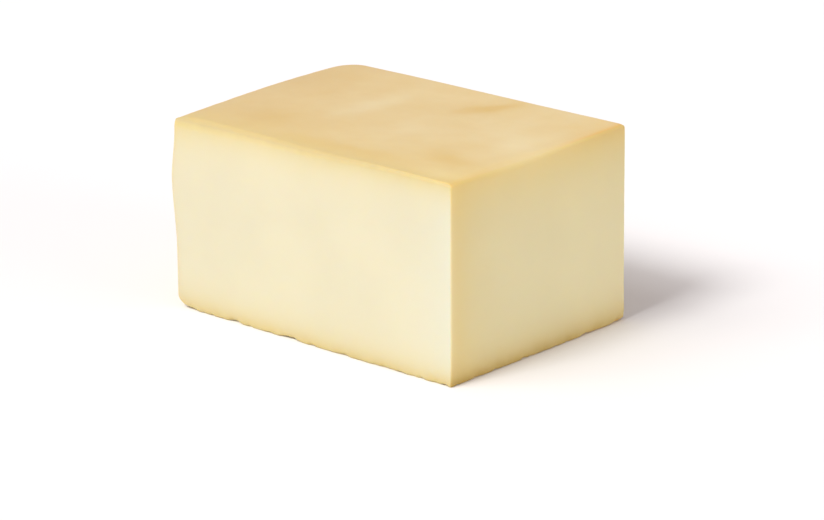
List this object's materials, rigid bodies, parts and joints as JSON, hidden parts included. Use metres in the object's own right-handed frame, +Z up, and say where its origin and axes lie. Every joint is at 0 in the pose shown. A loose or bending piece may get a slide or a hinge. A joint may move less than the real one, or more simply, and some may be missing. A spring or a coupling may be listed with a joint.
{
  "type": "goat cheese",
  "caption": "Block of hard pressed goat cheese with a thin tan rind, cut from a flat wheel: a food piece to lie on a board, plate or counter.",
  "frame": {"origin": "middle of the block's plan, at the height of its underside", "axes": "+X along the long cut, from the wheel's rim to the short cut face; +Y from the long cut face that the picture shows to the hidden one; +Z up through the wheel's thickness"},
  "size_m": [0.1124, 0.0792, 0.0603],
  "materials": {
    "cheese": "dense cream paste with a faint waxy sheen on the cut faces; a smooth, thin tan rind on the top, the underside and the rim"
  },
  "bodies": {
    "root": {"goat_cheese": "cheese"}
  },
  "joints": []
}
